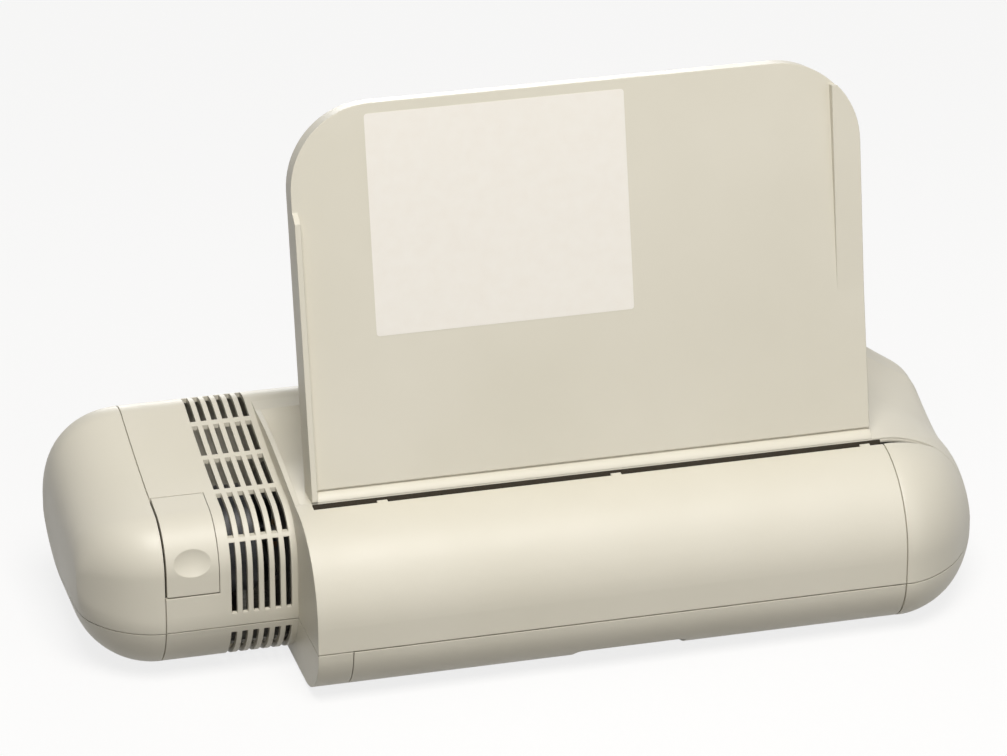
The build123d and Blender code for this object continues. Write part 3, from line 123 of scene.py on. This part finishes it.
def add_object(name, mesh, material):
    """Makes a finished mesh an object of the scene, all in one material."""
    data = bpy.data.meshes.new(name)
    mesh.to_mesh(data)
    mesh.free()
    data.materials.append(material)
    made = bpy.data.objects.new(name, data)
    bpy.context.scene.collection.objects.link(made)
    return made


# ---------------------------------------------------------------------------------------------
# Finishes
# ---------------------------------------------------------------------------------------------


def new_material(name):
    """A material with its output, the shader that feeds it, and the piece's own coordinates."""
    material = bpy.data.materials.new(name)
    tree = emptied(material)
    shader = add_node(tree, "ShaderNodeBsdfPrincipled")
    add_node(tree, "ShaderNodeOutputMaterial", links={"Surface": shader.outputs["BSDF"]})
    coordinates = add_node(tree, "ShaderNodeTexCoord").outputs["Object"]
    return material, tree, shader, coordinates


def mottle(tree, shader, coordinates, light, dark, patch_mm, detail=3.0, spread=0.2):
    """Colours the shader in light and dark patches of a real size, and returns their pattern.

    The two tones blend where the pattern lies within the given spread of its middle value.
    """
    patches = add_node(
        tree,
        "ShaderNodeTexNoise",
        inputs={"Scale": scale_of(patch_mm), "Detail": detail},
        links={"Vector": coordinates},
    )
    pattern = patches.outputs["Fac"]
    colour = add_node(tree, "ShaderNodeValToRGB", links={"Fac": pattern})
    dark_end, light_end = colour.color_ramp.elements
    dark_end.position = 0.5 - spread
    dark_end.color = linear(dark)
    light_end.position = 0.5 + spread
    light_end.color = linear(light)
    tree.links.new(colour.outputs["Color"], shader.inputs["Base Color"])
    return pattern


def moulded_abs(name, light, dark, roughness):
    """Injection-moulded ABS: a soft semi-gloss over the fine grain of a spark-eroded mould."""
    material, tree, shader, coordinates = new_material(name)
    # resin never mixes perfectly evenly, so the colour drifts over a hand's width
    mottle(tree, shader, coordinates, light, dark, patch_mm=90.0)
    # handling polishes some areas a little more than others
    handling = add_node(
        tree,
        "ShaderNodeTexNoise",
        inputs={"Scale": scale_of(35.0), "Detail": 4.0, "Roughness": 0.6},
        links={"Vector": coordinates},
    )
    polish = add_node(
        tree,
        "ShaderNodeMapRange",
        inputs={
            "From Min": 0.3,
            "From Max": 0.7,
            "To Min": roughness - 0.04,
            "To Max": roughness + 0.05,
        },
        links={"Value": handling.outputs["Fac"]},
    )
    tree.links.new(polish.outputs["Result"], shader.inputs["Roughness"])
    # the mould's grain is about 0.25 mm, drawn at 0.9 mm so that it shows
    grain = add_node(
        tree,
        "ShaderNodeTexNoise",
        inputs={"Scale": scale_of(0.9), "Detail": 2.0, "Roughness": 0.6},
        links={"Vector": coordinates},
    )
    # mould corners are never sharp: edges catch the light over about half a millimetre
    edge = add_node(tree, "ShaderNodeBevel", settings={"samples": 6}, inputs={"Radius": 0.6 * MM})
    bump = add_node(
        tree,
        "ShaderNodeBump",
        inputs={"Strength": 0.18, "Distance": 0.05 * MM},
        links={"Height": grain.outputs["Fac"], "Normal": edge.outputs["Normal"]},
    )
    tree.links.new(bump.outputs["Normal"], shader.inputs["Normal"])
    shader.inputs["IOR"].default_value = 1.54
    return material


def metal(name, light, dark, roughness, grain_mm, stretch):
    """Bare or plated metal: its grain may be drawn out along X, as rolling or grinding leaves it."""
    material, tree, shader, coordinates = new_material(name)
    drawn_out = add_node(
        tree,
        "ShaderNodeMapping",
        inputs={"Scale": (1.0 / stretch, 1.0, 1.0)},
        links={"Vector": coordinates},
    )
    grain = mottle(tree, shader, drawn_out.outputs["Vector"], light, dark, grain_mm, spread=0.15)
    # the light streaks are a little duller than the dark ones
    wear = add_node(
        tree,
        "ShaderNodeMapRange",
        inputs={"To Min": roughness - 0.06, "To Max": roughness + 0.08},
        links={"Value": grain},
    )
    tree.links.new(wear.outputs["Result"], shader.inputs["Roughness"])
    shader.inputs["Metallic"].default_value = 1.0
    return material


def plain_finish(name, light, dark, roughness, grain_mm):
    """Small mouldings and coatings: one even colour with a faint texture that takes off the shine."""
    material, tree, shader, coordinates = new_material(name)
    texture = mottle(tree, shader, coordinates, light, dark, grain_mm)
    bump = add_node(
        tree,
        "ShaderNodeBump",
        inputs={"Strength": 0.2, "Distance": 0.1 * MM},
        links={"Height": texture},
    )
    tree.links.new(bump.outputs["Normal"], shader.inputs["Normal"])
    shader.inputs["Roughness"].default_value = roughness
    return material


def label_vinyl():
    """Pale vinyl label: smooth, a little glossier than the plastic around it, faintly warm."""
    material, tree, shader, coordinates = new_material("label_vinyl")
    mottle(tree, shader, coordinates, "#EEEAE2", "#ECE7DE", patch_mm=6.0, detail=4.0, spread=0.25)
    shader.inputs["Roughness"].default_value = 0.32
    shader.inputs["IOR"].default_value = 1.5
    return material


def slot_shade_paint():
    """Painted shade: a brown-black, matt sheet that stands in for the deep shadow in the paper slot, so
    that the slot shows as a dark line.
    """
    return plain_finish("slot_shade_paint", "#3F382C", "#332D23", roughness=0.95, grain_mm=0.6)


finishes = {
    # injection-moulded ABS shells: warm putty, softly glossy, nearly even
    "housing_plastic": moulded_abs("housing_abs", "#D9D4C5", "#D4CFBF", roughness=0.45),
    # moulded rubber feet: near black and dull
    "foot_rubber": plain_finish("foot_rubber", "#2A2927", "#1D1C1B", roughness=0.75, grain_mm=1.5),
    # cold-headed steel screws and pins, zinc plated: pale and bright, with no run in the grain
    "screw_steel": metal(
        "zinc_plated_screws", "#B9B8B2", "#8E8D88", roughness=0.38, grain_mm=0.8, stretch=1.0
    ),
    # rolled steel sheet, zinc plated: mid grey and half dull, with the long grain of the rolls
    "plate_steel": metal(
        "zinc_plated_sheet", "#8B8A84", "#73726C", roughness=0.5, grain_mm=1.2, stretch=6.0
    ),
    # ground steel of the punch pins, cams and shafts: the smoothest metal here, finely lined
    "tool_steel": metal("ground_steel", "#A5A4A1", "#7F7E7C", roughness=0.3, grain_mm=0.5, stretch=8.0),
    # pressed and sintered bronze bushes: warm brown and speckled, half dull
    "bush_bronze": metal(
        "sintered_bronze", "#B08A55", "#8C6A3C", roughness=0.5, grain_mm=0.6, stretch=1.0
    ),
    # moulded acetal gears: off-white, with a waxy half shine
    "gear_plastic": plain_finish("acetal_gears", "#E9E5DA", "#DEDACE", roughness=0.45, grain_mm=2.0),
    # moulded nylon of the switches, the inlet, the relay and the fan: satin black
    "switch_plastic": plain_finish("black_nylon", "#201F1E", "#161514", roughness=0.5, grain_mm=1.0),
    # enamelled steel of the motor's case and the transformer: dark grey under a soft gloss
    "motor_can": plain_finish("enamelled_steel", "#4A4A4C", "#3B3B3D", roughness=0.4, grain_mm=2.0),
    # lacquered glass-fibre board: dull green, faintly mottled by the weave
    "board_plastic": plain_finish(
        "glass_filled_board", "#2E5A3C", "#234A30", roughness=0.45, grain_mm=1.2
    ),
}

for entry in frame["record"]["subparts"]:
    part = nodes[entry["node"]]
    finish = finishes[entry["material_slot"]]
    for material_slot in part.material_slots:
        material_slot.link = "DATA"
        material_slot.material = finish

# ---------------------------------------------------------------------------------------------
# Thin sheets that lean as the paper does: the label, and a dark sheet of painted shade in the paper slot
# ---------------------------------------------------------------------------------------------


def leaning_sheet(name, foot, across, up, thickness, corner, material):
    """A thin sheet with rounded corners, laid flat on a face that leans as the paper does.

    It spans the given places across the object, and the given distances up the face from its foot.
    """
    mesh = square(0.5)  # one wide and one high, so its scale is the sheet's size
    bmesh.ops.scale(mesh, vec=(across[1] - across[0], up[1] - up[0], 1.0), verts=mesh.verts)
    bmesh.ops.bevel(
        mesh,
        geom=mesh.verts[:],
        offset=corner,
        offset_type="OFFSET",
        affect="VERTICES",
        segments=CORNER_SEGMENTS,
        profile=0.5,
        material=-1,
    )
    risen = bmesh.ops.extrude_face_region(mesh, geom=mesh.faces[:])
    top = [v for v in risen["geom"] if isinstance(v, bmesh.types.BMVert)]
    bmesh.ops.translate(mesh, vec=(0, 0, thickness), verts=top)
    bmesh.ops.recalc_face_normals(mesh, faces=mesh.faces)
    middle = foot + UP_THE_SUPPORT * (up[0] + up[1]) / 2 + ACROSS_THE_SUPPORT * (across[0] + across[1]) / 2
    turn = Matrix((ACROSS_THE_SUPPORT, UP_THE_SUPPORT, OUT_OF_SUPPORT)).transposed().to_4x4()
    bmesh.ops.transform(mesh, matrix=Matrix.Translation(middle) @ turn, verts=mesh.verts)
    sheet = add_object(name, mesh, material)
    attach(sheet, "root")


leaning_sheet(
    "support_label",
    foot=SUPPORT_FOOT,
    across=(LABEL_LEFT, LABEL_RIGHT),
    up=(LABEL_BOTTOM, LABEL_TOP),
    thickness=LABEL_THICKNESS,
    corner=LABEL_CORNER,
    material=label_vinyl(),
)
cover_low, cover_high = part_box("front_cover")
# a dark sheet of painted shade along the slot's rear wall, standing in for the slot's deep shadow
leaning_sheet(
    "painted_shade_in_slot",
    foot=SLOT_REAR_EDGE,
    across=(cover_low[0] + SLOT_FROM_STEP, cover_high[0]),
    up=(-SHADE_SHEET_DEPTH, -SHADE_SHEET_DROP),
    thickness=SHADE_SHEET_THICKNESS,
    corner=SHADE_SHEET_CORNER,
    material=slot_shade_paint(),
)

# ---------------------------------------------------------------------------------------------
# Studio
# ---------------------------------------------------------------------------------------------

WHITE = "#FFFFFF"
SHOWS_WHITE = 1.0  # the strength at which a white emitter just reads as white

FLOOR_REACH = 6.0  # metres to each side
FLOOR_BOUNCE = "#8A8884"  # what the floor throws back on the object
FLOOR_PAPER = "#F4F3F1"  # what is seen of it, with the object's shadow
FLOOR_WHITENESS = 0.8  # the share of plain white over that

SURROUND_LIGHT = "#F4F4F5"
SURROUND_STRENGTH = 0.14

LAMPS_AIM_AT = (0.0, 0.0, 0.1)  # the middle of the object, at the top of its body

# the camera stands where the photograph was taken from, worked out from the object's lines
CAMERA_PLACE = (-0.6015, -2.1819, 1.1336)
CAMERA_LOOKS_DOWN = 24.07  # degrees
CAMERA_LOOKS_RIGHT = 15.21  # degrees
CAMERA_LENS = 184.05  # millimetres, as is the sensor's width
CAMERA_SENSOR = 36.0


def lit_and_seen(tree, lit, seen):
    """Mixes the shader that lights the object with the one that is seen, also mirrored or through glass."""
    rays = add_node(tree, "ShaderNodeLightPath")
    by_gloss_or_glass = add_node(
        tree,
        "ShaderNodeMath",
        settings={"operation": "MAXIMUM"},
        links={0: rays.outputs["Is Glossy Ray"], 1: rays.outputs["Is Transmission Ray"]},
    )
    to_the_eye = add_node(
        tree,
        "ShaderNodeMath",
        settings={"operation": "MAXIMUM"},
        links={0: rays.outputs["Is Camera Ray"], 1: by_gloss_or_glass.outputs[0]},
    )
    mix = add_node(
        tree,
        "ShaderNodeMixShader",
        links={"Fac": to_the_eye.outputs[0], 1: lit.outputs[0], 2: seen.outputs[0]},
    )
    return mix.outputs[0]


def studio_floor():
    """A wide floor that looks white and keeps the object's shadow, but throws little light back up."""
    material = bpy.data.materials.new("matt_studio_paper")
    tree = emptied(material)
    bounce = add_node(tree, "ShaderNodeBsdfDiffuse", inputs={"Color": linear(FLOOR_BOUNCE)})
    paper = add_node(tree, "ShaderNodeBsdfDiffuse", inputs={"Color": linear(FLOOR_PAPER)})
    white = add_node(
        tree, "ShaderNodeEmission", inputs={"Color": linear(WHITE), "Strength": SHOWS_WHITE}
    )
    whitened = add_node(
        tree,
        "ShaderNodeMixShader",
        inputs={"Fac": FLOOR_WHITENESS},
        links={1: paper.outputs[0], 2: white.outputs[0]},
    )
    add_node(
        tree, "ShaderNodeOutputMaterial", links={"Surface": lit_and_seen(tree, bounce, whitened)}
    )
    floor = add_object("studio_floor", square(FLOOR_REACH), material)


def studio_world():
    """An even pale surround: it lights the object faintly, and the camera sees it as white."""
    world = bpy.data.worlds.new("studio")
    bpy.context.scene.world = world
    tree = emptied(world)
    lit = add_node(
        tree,
        "ShaderNodeBackground",
        inputs={"Color": linear(SURROUND_LIGHT), "Strength": SURROUND_STRENGTH},
    )
    seen = add_node(
        tree, "ShaderNodeBackground", inputs={"Color": linear(WHITE), "Strength": SHOWS_WHITE}
    )
    add_node(tree, "ShaderNodeOutputWorld", links={"Surface": lit_and_seen(tree, lit, seen)})


def studio_camera():
    """The camera at the photograph's place, turned and zoomed as it was."""
    data = bpy.data.cameras.new("camera")
    data.sensor_width = CAMERA_SENSOR
    data.lens = CAMERA_LENS
    camera = bpy.data.objects.new("camera", data)
    camera.location = CAMERA_PLACE
    camera.rotation_euler = (
        math.radians(90 - CAMERA_LOOKS_DOWN),
        0.0,
        math.radians(-CAMERA_LOOKS_RIGHT),
    )
    bpy.context.scene.collection.objects.link(camera)
    bpy.context.scene.camera = camera


def soft_lamp(name, place, size, watts, colour=WHITE):
    """A square area lamp aimed at the object."""
    lamp = bpy.data.lights.new(name, "AREA")
    lamp.shape = "SQUARE"
    lamp.size = size
    lamp.energy = watts
    lamp.color = linear(colour)[:3]
    holder = bpy.data.objects.new(name, lamp)
    holder.location = place
    aim = Vector(LAMPS_AIM_AT) - Vector(place)
    holder.rotation_euler = aim.to_track_quat("-Z", "Y").to_euler()
    bpy.context.scene.collection.objects.link(holder)


studio_floor()
studio_world()
studio_camera()
# the key stands over the front; the other three soften its shadows, right, front and back
soft_lamp("key", place=(-0.2, -1.1, 2.1), size=1.1, watts=48.0, colour="#FFFDFA")
soft_lamp("right", place=(1.4, -1.6, 1.0), size=0.9, watts=6.0)
soft_lamp("front", place=(-0.3, -2.6, 1.1), size=0.9, watts=8.0)
soft_lamp("back", place=(0.4, 2.4, 0.5), size=0.9, watts=13.0)
bpy.context.scene.view_settings.view_transform = "Standard"
